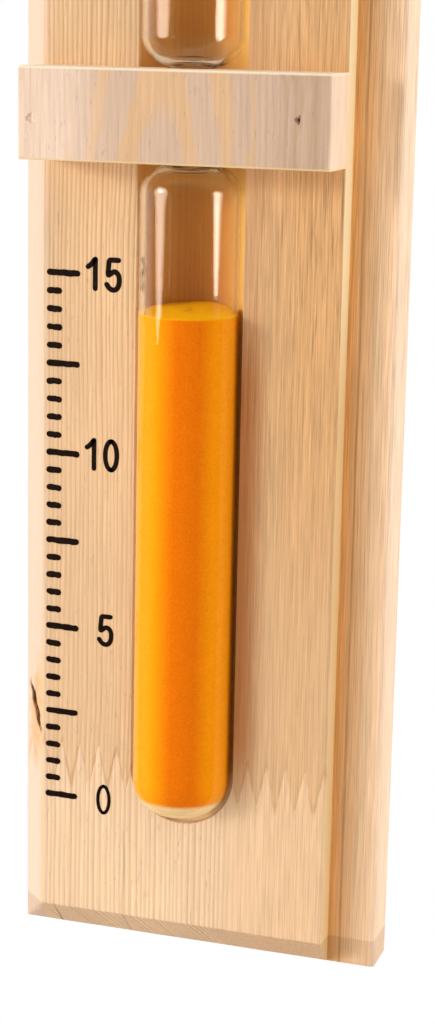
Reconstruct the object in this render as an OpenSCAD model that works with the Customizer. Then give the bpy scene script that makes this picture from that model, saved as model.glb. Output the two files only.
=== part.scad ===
// Wall sand timer for a sauna: a pine board that turns over on a bolt in its wall plate.
// The origin is on the wall, on the axis of that bolt. +Z is up, and the front looks along -Y.

/* [Board] */
// Width of the flat front face, between the left bevel and the right step
face_w = 58.9; // [56:0.1:68]
// Height of the whole board
board_h = 329.4; // [312:0.2:360]
// Thickness of the board
board_t = 17; // [15.5:0.1:20]
// Width of the bevel along the left side, the top and the bottom
bevel_w = 5.6; // [3:0.1:7]
// Depth of that bevel
bevel_d = 5.1; // [3:0.1:7]
// Width of the step along the right side
step_w = 9.4; // [6:0.1:12]
// Depth of the step below the front face
step_d = 5.1; // [3:0.1:7]
// Radius of the front edges of the step
edge_r = 0.7; // [0.3:0.1:1.2]
// Radius of the back edges of the board
back_r = 3; // [1:0.1:4]

/* [Finger joint] */
// Height of the middle of the finger joint above the board's lower end
joint_up = 36.5; // [32:0.1:60]
// Distance from one finger to the next
finger_pitch = 3.88; // [3:0.01:5]
// Length of the fingers
finger_l = 7.8; // [5:0.1:10]
// Width of a finger's flat tip
finger_tip = 0.4; // [0.2:0.05:0.8]

/* [Glass] */
// Length of the glass, over both bulbs
glass_l = 271.2; // [256:0.4:284]
// Outer diameter of the bulbs
glass_d = 19; // [17.6:0.1:21]
// Thickness of the glass
glass_wall = 1; // [0.8:0.05:1.6]
// Thickness of the glass at the closed ends
end_wall = 2; // [1.4:0.1:3]
// Outer radius of the bend into each closed end
end_r = 7; // [4:0.1:7.5]
// Outer radius of the shoulders at the waist
shoulder_r = 5.6; // [4.5:0.1:7]
// Outer diameter of the waist
waist_d = 7.2; // [6.4:0.1:8.4]
// Radius of the fillet between waist and shoulder
waist_fillet = 1.5; // [0.8:0.1:2.4]
// Diameter of the hole that the sand runs through
orifice_d = 1.6; // [1:0.1:2.4]
// Length of the straight stretch of that hole
orifice_l = 6; // [3:0.1:9]
// Depth of the sand in the lower bulb
sand_h = 98.1; // [60:0.1:102]
// Clearance between sand and glass
sand_gap = 0.1; // [0.05:0.01:0.3]

/* [Groove] */
// Depth of the round groove that the glass lies in
groove_depth = 9.8; // [8.6:0.1:10.6]
// How much larger the groove's radius is than the glass's
groove_gap = 1.1; // [0.8:0.1:2]
// Clearance between the glass and the bottom of the groove
seat_gap = 0.3; // [0.2:0.05:0.6]
// Clearance between the bend at each end of the glass and the groove's round end
end_gap = 0.1; // [0.05:0.01:0.2]

/* [Strap] */
// Height of the strap over the glass's waist
strap_h = 17; // [14:0.1:20]
// Thickness of the strap
strap_t = 11.8; // [10:0.1:14]
// How far the strap reaches past the face on each side
strap_over = 0.3; // [0:0.05:1]
// Clearance between the strap and the shoulders of the glass
shoulder_gap = 0.3; // [0.3:0.1:2]
// Clearance between the strap's notch and the glass's waist
notch_gap = 0.4; // [0.3:0.05:0.8]
// How far the notch flares out at its two ends, round the start of the bulbs
notch_flare = 1; // [1:0.1:1.6]
// Radius of the strap's long front edges
strap_edge_r = 0.5; // [0.3:0.1:1.5]

/* [Brads] */
// Diameter of a brad's shank
brad_d = 1.2; // [1:0.05:1.6]
// Diameter of a brad's head
brad_head_d = 1.8; // [1.7:0.05:2.2]
// Thickness of a brad's head
brad_head_t = 0.8; // [0.5:0.05:1.2]
// How deep a brad's head is driven below the strap's front
brad_sink = 0.4; // [0.1:0.05:1]
// Depth that a brad reaches into the board
brad_bite = 9.5; // [7:0.1:12]
// Clearance round a brad
brad_gap = 0.03; // [0.02:0.01:0.06]
// Distance of the left brad from the strap's left end
brad_left_in = 2.4; // [2:0.1:8]
// Height of the left brad above the strap's middle line
brad_left_up = -0.9; // [-4:0.1:4]
// Distance of the right brad from the strap's right end
brad_right_in = 6; // [2:0.1:8]
// Height of the right brad above the strap's middle line
brad_right_up = 0.3; // [-4:0.1:4]

/* [Pivot] */
// Diameter of the pivot bolt
bolt_d = 6; // [5:0.1:6.6]
// Radial clearance of the bolt in the holes it passes through
bolt_gap = 0.06; // [0.03:0.01:0.1]
// Width of the bolt head and the nut across their flats
hex_w = 10; // [9:0.1:11]
// Height of the bolt head
head_h = 4; // [3:0.1:4.2]
// Outer diameter of the two steel washers
washer_d = 12; // [11:0.1:14]
// Thickness of the two steel washers
washer_t = 1.6; // [1:0.1:2]
// How far the seat of the front washer is sunk below the groove
seat_sink = 1.7; // [1.4:0.1:2.2]
// Clearance round the washers in their pockets
pocket_gap = 1.2; // [0.6:0.1:2]
// Outer diameter of the friction washer behind the board
friction_d = 26; // [18:0.5:32]
// Thickness of the friction washer
friction_t = 1.2; // [0.8:0.1:2]
// Running clearance on each side of the board
run_gap = 0.1; // [0.05:0.01:0.2]
// Height of the lock nut's hexagon
nut_h = 4; // [3.4:0.1:5]
// Height of the collar on the lock nut
collar_h = 2; // [1:0.1:2.5]
// How far the bolt stands out of the lock nut
bolt_end = 1; // [0.4:0.1:1.6]

/* [Wall plate] */
// Width of the wall plate
plate_w = 36; // [34:0.5:46]
// Height of the wall plate
plate_h = 120; // [112:1:150]
// Thickness of the wall plate
plate_t = 17; // [14:0.1:22]
// Width of the chamfer round the plate's front
plate_chamfer = 2; // [1:0.1:4]
// Radius of the plate's corners, seen from the front
plate_corner_r = 5; // [2:0.1:8]
// Space between the end of the bolt and the wall
bolt_wall_gap = 0.8; // [0.4:0.1:1.5]
// Distance between the two wall screws
screw_spacing = 100; // [94:0.5:104]
// Diameter of the wall screws' holes
screw_d = 4.5; // [3.5:0.1:5.5]
// Diameter of the countersinks
sink_d = 9; // [8:0.1:11]

/* [Hidden] */
$fn = 72;
past = 1;                                   // how far a cutter reaches past what it cuts
eps = 0.01;

// Places along Y, from the wall to the front
y_plate = -plate_t;                         // front of the wall plate
y_friction = y_plate - friction_t;          // front of the friction washer
y_back = y_friction - run_gap;              // back of the board
y_face = y_back - board_t;                  // front face of the board
y_floor = y_face + groove_depth;            // bottom of the groove
y_seat = y_floor + seat_sink;               // bottom of the pocket for the bolt's washer
y_head = y_seat - run_gap - washer_t;       // underside of the bolt head
y_glass = y_floor - seat_gap - glass_d / 2; // axis of the glass
y_strap = y_face - strap_t;                 // front of the strap
y_nut_seat = -(bolt_wall_gap + bolt_end + collar_h + nut_h + washer_t);

// Places across the board
x_left = -face_w / 2 - bevel_w;
x_right = face_w / 2 + step_w;
strap_half = face_w / 2 + strap_over;
joint_z = -board_h / 2 + joint_up;
groove_r = glass_d / 2 + groove_gap;
bend_apart = groove_r - end_r;              // from the centre of its end to the centre of the glass's bend
groove_half = glass_l / 2 - end_r - sqrt((bend_apart - end_gap) ^ 2 - (bend_apart - seat_gap) ^ 2);
pocket_r = washer_d / 2 + pocket_gap;
notch_r = waist_d / 2 + notch_gap;

// Glass: r is the radius from its axis, z the height above its middle
shoulder_z = strap_h / 2 + shoulder_gap;            // where the shoulders end, at the waist
bend_r = glass_d / 2 - shoulder_r;                  // radius of the shoulder's centre line
fillet_r = waist_d / 2 + waist_fillet;              // radius of the waist fillet's centre line
fillet_z = shoulder_z + shoulder_r
         - sqrt((shoulder_r + waist_fillet) ^ 2 - (fillet_r - bend_r) ^ 2);

pine = [0.93, 0.76, 0.57];
pale_pine = [0.92, 0.80, 0.68];

// What lies outside a quarter circle in the corner of a square, for rounding edges
module corner(r) {
    difference() {
        translate([-past, -past]) square(r + past);
        translate([r, r]) circle(r);
    }
}

// Section of the board across its length: x across, y from the face to the back
module board_section() {
    difference() {
        polygon([[-face_w / 2, 0], [x_left, bevel_d], [x_left, board_t], [x_right, board_t],
                 [x_right, step_d], [face_w / 2, step_d], [face_w / 2, 0]]);
        translate([x_left, board_t]) mirror([0, 1]) corner(back_r);
        translate([x_right, board_t]) mirror([1, 0]) mirror([0, 1]) corner(back_r);
        translate([x_right, step_d]) mirror([1, 0]) corner(edge_r);
        translate([face_w / 2, 0]) mirror([1, 0]) corner(edge_r);
    }
}

// Section of the board along its length: x from the face to the back, y up
module board_side() {
    difference() {
        polygon([[0, board_h / 2 - bevel_w], [bevel_d, board_h / 2], [board_t, board_h / 2],
                 [board_t, -board_h / 2], [bevel_d, -board_h / 2], [0, bevel_w - board_h / 2]]);
        for (up = [0, 1]) mirror([0, up]) translate([board_t, -board_h / 2])
            mirror([1, 0]) corner(back_r);
    }
}

// The solid that has one section seen from above and another seen from the side
module crossed_sections(length, left, right) {
    intersection() {
        translate([0, 0, -length / 2]) linear_extrude(length) children(0);
        translate([left, 0, 0]) rotate([90, 0, 90]) linear_extrude(right - left) children(1);
    }
}

// Groove for the glass, round in section and at both ends
module groove() {
    translate([0, groove_depth - groove_r, 0]) {
        cylinder(h = 2 * groove_half, r = groove_r, center = true);
        for (up = [-1, 1]) translate([0, 0, up * groove_half]) sphere(groove_r);
    }
}

// Board before it is parted at the finger joint, with its face at y = 0
module board_blank() {
    difference() {
        crossed_sections(board_h, x_left, x_right) {
            board_section();
            board_side();
        }
        groove();
        rotate([-90, 0, 0]) cylinder(h = board_t + past, r = bolt_d / 2 + bolt_gap);
        rotate([-90, 0, 0]) cylinder(h = groove_depth + seat_sink, r = pocket_r);
        for (brad = brad_places())
            translate([brad[0], 0, brad[1]]) rotate([-90, 0, 0])
                translate([0, 0, -past]) cylinder(h = brad_bite + past, r = brad_d / 2 + brad_gap);
    }
}

// Everything below the finger joint: one flat-tipped finger after another
module below_joint() {
    fingers = ceil((x_right - x_left) / finger_pitch / 2) + 1;
    zigzag = [for (i = [-fingers:fingers])
        each [[i * finger_pitch - finger_tip / 2, -finger_l / 2],
              [i * finger_pitch + finger_tip / 2, -finger_l / 2],
              [(i + 0.5) * finger_pitch - finger_tip / 2, finger_l / 2],
              [(i + 0.5) * finger_pitch + finger_tip / 2, finger_l / 2]]];
    span = (fingers + 1) * finger_pitch;
    translate([0, board_t + past, joint_z]) rotate([90, 0, 0])
        linear_extrude(board_t + 2 * past)
            polygon(concat([[-span, -joint_up - past]], [[-span, -finger_l / 2]], zigzag,
                           [[span, -finger_l / 2], [span, -joint_up - past]]));
}

module board_main() {
    color(pine) translate([0, y_face, 0]) difference() {
        board_blank();
        below_joint();
    }
}

module board_end() {
    color(pine) translate([0, y_face, 0]) intersection() {
        board_blank();
        below_joint();
    }
}

// Section of the strap: x from its front to its back, y up
module strap_side() {
    difference() {
        translate([0, -strap_h / 2]) square([strap_t, strap_h]);
        for (up = [0, 1]) mirror([0, up]) translate([0, -strap_h / 2]) corner(strap_edge_r);
    }
}

// Strap over the waist, with a round notch at its back that flares out at both ends
module strap() {
    color(pale_pine) difference() {
        translate([-strap_half, y_strap, 0]) rotate([90, 0, 90])
            linear_extrude(2 * strap_half) strap_side();
        translate([0, y_glass, 0]) {
            cylinder(h = strap_h + 2 * past, r = notch_r, center = true);
            for (up = [0, 1]) mirror([0, 0, up]) translate([0, 0, strap_h / 2 - notch_flare])
                cylinder(h = notch_flare + eps, r1 = notch_r, r2 = notch_r + notch_flare + eps);
        }
        for (brad = brad_places()) translate([brad[0], y_strap, brad[1]]) rotate([-90, 0, 0]) {
            translate([0, 0, -past]) cylinder(h = strap_t + 2 * past, r = brad_d / 2 + brad_gap);
            translate([0, 0, -past])
                cylinder(h = brad_sink + brad_head_t + past, r = brad_head_d / 2 + brad_gap);
        }
    }
}

// Where the two brads stand, as [x, z]
function brad_places() = [[-strap_half + brad_left_in, brad_left_up],
                          [strap_half - brad_right_in, brad_right_up]];

// Headed pin, driven in from the front
module brad(place) {
    color("dimgray") translate([place[0], y_strap + brad_sink, place[1]]) rotate([-90, 0, 0]) {
        cylinder(h = brad_head_t, r = brad_head_d / 2);
        cylinder(h = strap_t - brad_sink + brad_bite - brad_d, r = brad_d / 2);
        translate([0, 0, strap_t - brad_sink + brad_bite - brad_d])
            cylinder(h = brad_d, r1 = brad_d / 2, r2 = brad_d / 6);
    }
}

module brad_left() { brad(brad_places()[0]); }

module brad_right() { brad(brad_places()[1]); }

// Half section of one bulb, from the height low to the height high, with rounded corners
module bulb(r, low, high, low_r, high_r) {
    translate([0, low + low_r]) square([r, high - high_r - low - low_r]);
    translate([0, low]) square([r - low_r, low_r + eps]);
    translate([0, high - high_r - eps]) square([r - high_r, high_r + eps]);
    intersection() {
        union() {
            translate([r - low_r, low + low_r]) circle(low_r);
            translate([r - high_r, high - high_r]) circle(high_r);
        }
        translate([0, low]) square([r, high - low]);
    }
}

// Half section of the upper half of the glass's outside: bulb, fillet and waist
module glass_outside() {
    bulb(glass_d / 2, shoulder_z, glass_l / 2, shoulder_r, end_r);
    square([waist_d / 2, shoulder_z + glass_wall]);
    difference() {
        polygon([[0, fillet_z], [fillet_r, fillet_z], [bend_r, shoulder_z + shoulder_r],
                 [0, shoulder_z + shoulder_r]]);
        translate([fillet_r, fillet_z]) circle(waist_fillet);
    }
}

// Half section of the upper half of its hollow: bulb, funnel and orifice
module glass_inside() {
    bulb_low = shoulder_z + glass_wall;
    bulb(glass_d / 2 - glass_wall, bulb_low, glass_l / 2 - end_wall,
         shoulder_r - glass_wall, end_r - glass_wall);
    polygon([[0, 0], [orifice_d / 2, 0], [orifice_d / 2, orifice_l / 2],
             [waist_d / 2 - glass_wall, bulb_low + eps], [0, bulb_low + eps]]);
}

// Closed glass of two bulbs, joined by a waist that lets the sand through
module glass_tube() {
    color([0.85, 0.88, 0.86, 0.4]) translate([0, y_glass, 0]) difference() {
        rotate_extrude() for (up = [0, 1]) mirror([0, up]) glass_outside();
        rotate_extrude() for (up = [0, 1]) mirror([0, up]) glass_inside();
    }
}

// Sand in the lower bulb, level at the top
module sand() {
    low = -glass_l / 2 + end_wall + sand_gap;
    sand_r = glass_d / 2 - glass_wall - sand_gap;
    bend = end_r - glass_wall - sand_gap;
    color("orange") translate([0, y_glass, low]) {
        translate([0, 0, bend]) cylinder(h = sand_h - bend, r = sand_r);
        rotate_extrude() {
            square([sand_r - bend, bend + eps]);
            intersection() {
                translate([sand_r - bend, bend]) circle(bend);
                square([sand_r, bend + eps]);
            }
        }
    }
}

// Front view of the wall plate, with round corners
module plate_front() {
    difference() {
        square([plate_w, plate_h], center = true);
        for (side = [0, 1], up = [0, 1]) mirror([side, 0]) mirror([0, up])
            translate([-plate_w / 2, -plate_h / 2]) corner(plate_corner_r);
    }
}

// Section of the wall plate: x across it, y from the wall to its front
module plate_section(width) {
    polygon([[-width / 2, 0], [-width / 2, plate_t - plate_chamfer],
             [-width / 2 + plate_chamfer, plate_t], [width / 2 - plate_chamfer, plate_t],
             [width / 2, plate_t - plate_chamfer], [width / 2, 0]]);
}

// Batten that is screwed to the wall and carries the board on the pivot bolt
module wall_plate() {
    color(pine) difference() {
        intersection() {
            rotate([90, 0, 0]) linear_extrude(plate_t) plate_front();
            translate([0, 0, -plate_h / 2]) linear_extrude(plate_h)
                mirror([0, 1]) plate_section(plate_w);
            translate([-plate_w / 2, 0, 0]) rotate([90, 0, 90]) linear_extrude(plate_w)
                rotate(90) plate_section(plate_h);
        }
        translate([0, past, 0]) rotate([90, 0, 0])
            cylinder(h = plate_t + 2 * past, r = bolt_d / 2 + bolt_gap);
        translate([0, past, 0]) rotate([90, 0, 0])
            cylinder(h = past - y_nut_seat, r = pocket_r);
        for (up = [-1, 1]) translate([0, 0, up * screw_spacing / 2]) {
            translate([0, past, 0]) rotate([90, 0, 0])
                cylinder(h = plate_t + 2 * past, r = screw_d / 2);
            translate([0, y_plate, 0]) rotate([-90, 0, 0])
                cylinder(h = (sink_d - screw_d) / 2, r1 = sink_d / 2, r2 = screw_d / 2);
        }
    }
}

// Six-sided prism with its corners turned off on one side, standing on z = 0
module hexagon(height) {
    across = hex_w / cos(30);
    intersection() {
        cylinder(h = height, d = across, $fn = 6);
        union() {
            cylinder(h = height - 0.15 * hex_w, d = across + 1);
            translate([0, 0, height - 0.15 * hex_w])
                cylinder(h = 0.15 * hex_w, d1 = across + 0.1 * hex_w, d2 = 0.92 * hex_w);
        }
    }
}

// Bolt on which the board turns, with its head in the groove behind the glass's waist
module pivot_bolt() {
    bolt_l = -bolt_wall_gap - y_head;
    color("silver") translate([0, y_head, 0]) {
        rotate([90, 0, 0]) hexagon(head_h);
        rotate([-90, 0, 0]) cylinder(h = bolt_l - bolt_d / 8, r = bolt_d / 2);
        translate([0, bolt_l - bolt_d / 8, 0]) rotate([-90, 0, 0])
            cylinder(h = bolt_d / 8, r1 = bolt_d / 2, r2 = 3 * bolt_d / 8);
    }
}

// Flat ring that lies on a plane across the bolt, from y towards the wall
module ring(y, thickness, outer_d) {
    translate([0, y, 0]) rotate([-90, 0, 0]) difference() {
        cylinder(h = thickness, r = outer_d / 2);
        translate([0, 0, -past]) cylinder(h = thickness + 2 * past, r = bolt_d / 2 + bolt_gap);
    }
}

module bolt_washer() { color("silver") ring(y_head, washer_t, washer_d); }

module friction_washer() { color("ivory") ring(y_friction, friction_t, friction_d); }

module nut_washer() { color("silver") ring(y_nut_seat, washer_t, washer_d); }

// Self-locking nut with a round collar
module lock_nut() {
    color("silver") translate([0, y_nut_seat + washer_t, 0]) rotate([-90, 0, 0]) difference() {
        union() {
            hexagon(nut_h);
            cylinder(h = nut_h + collar_h, r = 0.42 * hex_w);
        }
        translate([0, 0, -past])
            cylinder(h = nut_h + collar_h + 2 * past, r = bolt_d / 2 + bolt_gap);
    }
}

board_main();
board_end();
strap();
brad_left();
brad_right();
glass_tube();
sand();
wall_plate();
pivot_bolt();
bolt_washer();
friction_washer();
nut_washer();
lock_nut();
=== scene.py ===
"""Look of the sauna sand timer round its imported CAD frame: pine, glass, sand, ink and pivot hardware."""
import math
import bpy
import numpy as np
from mathutils import Matrix
from mathutils.geometry import delaunay_2d_cdt


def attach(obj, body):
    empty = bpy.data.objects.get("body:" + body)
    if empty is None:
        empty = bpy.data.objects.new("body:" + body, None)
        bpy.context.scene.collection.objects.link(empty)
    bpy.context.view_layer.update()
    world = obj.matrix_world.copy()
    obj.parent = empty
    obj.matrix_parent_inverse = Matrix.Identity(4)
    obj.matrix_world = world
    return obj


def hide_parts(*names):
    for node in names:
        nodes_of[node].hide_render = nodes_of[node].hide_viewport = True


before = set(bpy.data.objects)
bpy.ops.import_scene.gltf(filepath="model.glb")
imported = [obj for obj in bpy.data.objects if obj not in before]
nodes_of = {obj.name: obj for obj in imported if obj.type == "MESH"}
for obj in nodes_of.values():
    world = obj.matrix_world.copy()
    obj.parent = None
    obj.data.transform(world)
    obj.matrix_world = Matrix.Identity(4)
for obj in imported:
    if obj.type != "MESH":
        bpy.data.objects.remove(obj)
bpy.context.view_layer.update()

scene = bpy.context.scene
scene.view_settings.view_transform = "Standard"


# Camera
# The photograph's viewpoint: 18 degrees to the right of the face, 13 above it, less than half a metre away.

camera_data = bpy.data.cameras.new("photo_camera")
camera_data.sensor_width = 36
camera_data.lens = 76.92
camera_data.clip_start = 0.01
camera_data.clip_end = 30
camera = bpy.data.objects.new("photo_camera", camera_data)
camera.matrix_world = Matrix(((0.94915, -0.08705, 0.30255, 0.132593),
                              (0.31421, 0.20226, -0.92756, -0.422116),
                              (0.01955, 0.97546, 0.21932, 0.017197),
                              (0, 0, 0, 1)))
scene.collection.objects.link(camera)
scene.camera = camera


# Studio
# Two round soft lamps, one at the front left and one at the right, and a small hard one inside the left
# one, in a tent that is white behind the board. Metal and glass see it dim and warm round the camera.

WHITE = (1, 1, 1)


def corners(node):
    """Lowest and highest corner of a CAD node, in mm."""
    box = np.array(nodes_of[node].bound_box) * 1000
    return box.min(0).round(3), box.max(0).round(3)


def put(tree, kind, inputs=(), **settings):
    """Adds a node of that kind to the tree. Each input is given a value, or an output to link from."""
    made = tree.nodes.new(kind)
    for name, value in settings.items():
        setattr(made, name, value)
    for name, value in dict(inputs).items():
        if isinstance(value, bpy.types.NodeSocket):
            tree.links.new(value, made.inputs[name])
        else:
            made.inputs[name].default_value = value
    return made


def tree_of(*values):
    """The node tree that holds the first output among the values."""
    return next(v.id_data for v in values if isinstance(v, bpy.types.NodeSocket))


def maths(operation, *terms, **settings):
    """A number worked out from the terms, which are numbers or outputs of nodes."""
    tree = tree_of(*terms)
    return put(tree, "ShaderNodeMath", enumerate(terms), operation=operation, **settings).outputs[0]


def vectors(operation, a, b, part=0):
    """A vector or colour worked out from two others, part by part."""
    return put(tree_of(a, b), "ShaderNodeVectorMath", {0: a, 1: b}, operation=operation).outputs[part]


def xyz(vector):
    """The three parts of a vector."""
    return put(tree_of(vector), "ShaderNodeSeparateXYZ", {0: vector}).outputs


def fade(value, low, high, start=0.0, end=1.0, kind="LINEAR"):
    """A number that goes from start to end as value goes from low to high, and stays at them outside."""
    return put(tree_of(value), "ShaderNodeMapRange", {0: value, 1: low, 2: high, 3: start, 4: end},
               interpolation_type=kind).outputs[0]


def ease(value, low, high, start=0.0, end=1.0):
    """The same as fade, with soft ends."""
    return fade(value, low, high, start, end, "SMOOTHSTEP")


def rgba(colour):
    """A colour of three numbers as the four that a node takes. An output stays as it is."""
    return colour if isinstance(colour, bpy.types.NodeSocket) else (*colour, 1)


def blend(share, a, b):
    """The colour a where share is 0, the colour b where it is 1, and a mix of both between."""
    return put(tree_of(share, a, b), "ShaderNodeMix", {"Factor": share, "A": rgba(a), "B": rgba(b)},
               data_type="RGBA").outputs["Result"]


def mixed(share, a, b):
    """The shader a where share is 0, and the shader b where it is 1."""
    return put(tree_of(share, a, b), "ShaderNodeMixShader", {0: share, 1: a, 2: b}).outputs[0]


def tent(kind, lit, y, behind, beside):
    """What the rays meet: lit for those that light the object, and white for the camera's. Mirrored ones
    meet a warm dark that turns white where y runs through behind, those through glass one that does so
    through beside."""
    tree = tree_of(y)
    rays = put(tree, "ShaderNodeLightPath").outputs
    dim = blend(ease(y, *behind), (0.14, 0.07, 0.03), WHITE)
    cream = blend(ease(y, *beside), (0.32, 0.20, 0.11), WHITE)
    dim, cream, white = (put(tree, kind, {"Color": rgba(colour), "Strength": 1.0}).outputs[0]
                         for colour in (dim, cream, WHITE))
    room = mixed(rays["Is Transmission Ray"], dim, cream)
    bent = maths("MAXIMUM", rays["Is Glossy Ray"], rays["Is Transmission Ray"])
    return mixed(rays["Is Camera Ray"], mixed(bent, lit, room), white)


def blank(name):
    """A new material and its node tree, which is empty."""
    made = bpy.data.materials.new(name)
    made.use_nodes = True
    made.node_tree.nodes.clear()
    return made, made.node_tree


world = bpy.data.worlds.new("tent")
world.use_nodes = True
tree = world.node_tree
tree.nodes.clear()
sight = put(tree, "ShaderNodeTexCoord").outputs["Generated"]
glow = maths("ADD", vectors("DOT_PRODUCT", sight, (0.27, 0.37, 0.6), "Value"), 0.48)
lit = put(tree, "ShaderNodeBackground", {"Color": (1.0, 0.97, 0.94, 1),
                                         "Strength": maths("MAXIMUM", glow, 0.05)})
shown = tent("ShaderNodeBackground", lit.outputs[0], xyz(sight)["Y"], (0.36, 0.62), (-0.32, 0.0))
put(tree, "ShaderNodeOutputWorld", {"Surface": shown})
scene.world = world

(LEFT, FACE_Y, joint_foot), (RIGHT, BACK_Y, HALF) = corners("board_main")
for name, azimuth, elevation, distance, radius, power in (("lamp_left", -56, 10.4, 1.3, 0.41, 9.9),
                                                           ("lamp_key", -56, 14, 1.25, 0.09, 4.5),
                                                           ("lamp_right", 84, 7.5, 1.3, 0.30, 5.0)):
    lamp_data = bpy.data.lights.new(name, "AREA")
    lamp_data.shape = "DISK"
    lamp_data.size = 2 * radius
    lamp_data.energy = power
    lamp_data.color = (1.0, 0.965, 0.93)
    lamp = bpy.data.objects.new(name, lamp_data)
    a, e = math.radians(azimuth), math.radians(elevation)
    towards = np.array([math.sin(a) * math.cos(e), -math.cos(a) * math.cos(e), math.sin(e)])
    side = np.cross([0, 0, 1], towards)
    side /= np.linalg.norm(side)
    stand = np.eye(4)
    stand[:3, :3] = np.stack([side, np.cross(towards, side), towards], 1)
    stand[:3, 3] = towards * distance + [0, FACE_Y / 1000, -0.07]
    lamp.matrix_world = Matrix(stand.tolist())
    scene.collection.objects.link(lamp)

floor_mesh = bpy.data.meshes.new("floor")
floor_mesh.from_pydata([(-4, -4, -0.6), (4, -4, -0.6), (4, 4, -0.6), (-4, 4, -0.6)], [], [(0, 1, 2, 3)])
floor = bpy.data.objects.new("floor", floor_mesh)
scene.collection.objects.link(floor)
paint, tree = blank("floor_paint")
place = put(tree, "ShaderNodeTexCoord").outputs["Object"]
matt = put(tree, "ShaderNodeBsdfDiffuse", {"Color": (0.7, 0.69, 0.68, 1)}).outputs[0]
shown = tent("ShaderNodeEmission", matt, xyz(place)["Y"], (0.5, 1.1), (-0.5, -0.1))
put(tree, "ShaderNodeOutputMaterial", {"Surface": shown})
floor_mesh.materials.append(paint)


# Pine
# Solid growth rings round a pith that lies outside the piece, so that faces and end grain of one piece belong
# together. The wood is planed and sanded, and left bare.

def times(first, *others):
    """The product of numbers and outputs."""
    for other in others:
        first = maths("MULTIPLY", first, other)
    return first


def scaled(vector, by):
    """A vector or colour with all its parts multiplied by one number."""
    tree = tree_of(vector)
    return put(tree, "ShaderNodeVectorMath", {0: vector, "Scale": by}, operation="SCALE").outputs[0]


def in_mm(tree):
    """The place on the piece, in mm."""
    place = put(tree, "ShaderNodeTexCoord").outputs["Object"]
    return scaled(place, 1000.0)


def noise(at, grain, detail, rough=0.5, part=0, **settings):
    """Smooth noise over the place at. The grain is its number of waves in a unit of length, one number or
    one for each axis."""
    if isinstance(grain, tuple):
        at, grain = vectors("MULTIPLY", at, grain), 1.0
    inputs = {"Vector": at, "Scale": grain, "Detail": detail, "Roughness": rough}
    return put(tree_of(at), "ShaderNodeTexNoise", inputs, **settings).outputs[part]


def wander(at, grain, detail, reach):
    """A vector that drifts round zero from place to place, by the order of reach."""
    return scaled(noise(at, grain, detail, part="Color", normalize=False), reach)


def hypot(a, b):
    """The square root of a squared plus b squared."""
    return maths("SQRT", maths("MULTIPLY_ADD", b, b, times(a, a)))


def bump(height, strength, distance, **settings):
    """A normal that follows the height, whose 1 stands for that distance in metres."""
    inputs = {"Height": height, "Strength": strength, "Distance": distance}
    return put(tree_of(height), "ShaderNodeBump", inputs, **settings).outputs[0]


def principled(tree, values):
    """A Principled shader with these values that ends the tree."""
    made = put(tree, "ShaderNodeBsdfPrincipled", values)
    put(tree, "ShaderNodeOutputMaterial", {"Surface": made.outputs[0]})
    return made


pine = bpy.data.node_groups.new("solid_pine", "ShaderNodeTree")
for name, value in (("Pith X", -120.0), ("Pith Y", 100.0), ("Ring Width", 0.8), ("Wander", 1.0),
                    ("Late Share", 0.35), ("Seed", 0.0), ("Lean", 0.0)):
    pine.interface.new_socket(name, in_out="INPUT", socket_type="NodeSocketFloat").default_value = value
for name in ("Late", "Fibre", "Tone", "Pores", "Height"):
    pine.interface.new_socket(name, in_out="OUTPUT", socket_type="NodeSocketFloat")
given = put(pine, "NodeGroupInput").outputs
seed = put(pine, "ShaderNodeCombineXYZ", {axis: given["Seed"] for axis in "XYZ"}).outputs[0]
place = vectors("ADD", in_mm(pine), seed)
drift = wander(place, (0.035, 0.035, 0.011), 1.0, 2.4)
drift = vectors("ADD", drift, wander(place, (0.3, 0.3, 0.07), 2.0, 0.2))
bent = vectors("ADD", vectors("SUBTRACT", place, seed), scaled(drift, given["Wander"]))
x, y, z = xyz(bent)
across = maths("SUBTRACT", maths("MULTIPLY_ADD", z, given["Lean"], x), given["Pith X"])
radius = hypot(across, maths("SUBTRACT", y, given["Pith Y"]))
year = maths("DIVIDE", radius, given["Ring Width"])
uneven = put(pine, "ShaderNodeTexNoise", {"W": times(year, 0.21), "Scale": 1.0, "Detail": 1.0},
             noise_dimensions="1D", normalize=False)
year = maths("MULTIPLY_ADD", uneven.outputs[0], 0.55, year)
season = maths("FRACT", year)
vigour = put(pine, "ShaderNodeTexWhiteNoise", {"W": maths("FLOOR", year)}, noise_dimensions="1D")
summer = maths("SUBTRACT", 0.92, given["Late Share"])
late = times(ease(season, summer, 0.94), ease(season, 0.94, 1.0, 1.0, 0.0),
             fade(vigour.outputs["Value"], 0.0, 1.0, 0.62, 1.0))
fibre = noise(place, (2.1, 2.1, 0.07), 4.0, 0.72)
tone = noise(place, (0.07, 0.07, 0.013), 2.0)
pores = ease(noise(place, (2.2, 2.2, 0.42), 1.0), 0.66, 0.78)
height = maths("MULTIPLY_ADD", pores, -0.8, maths("MULTIPLY_ADD", late, 0.5, fibre))
put(pine, "NodeGroupOutput", {"Late": late, "Fibre": fibre, "Tone": tone, "Pores": pores, "Height": height})


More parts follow.
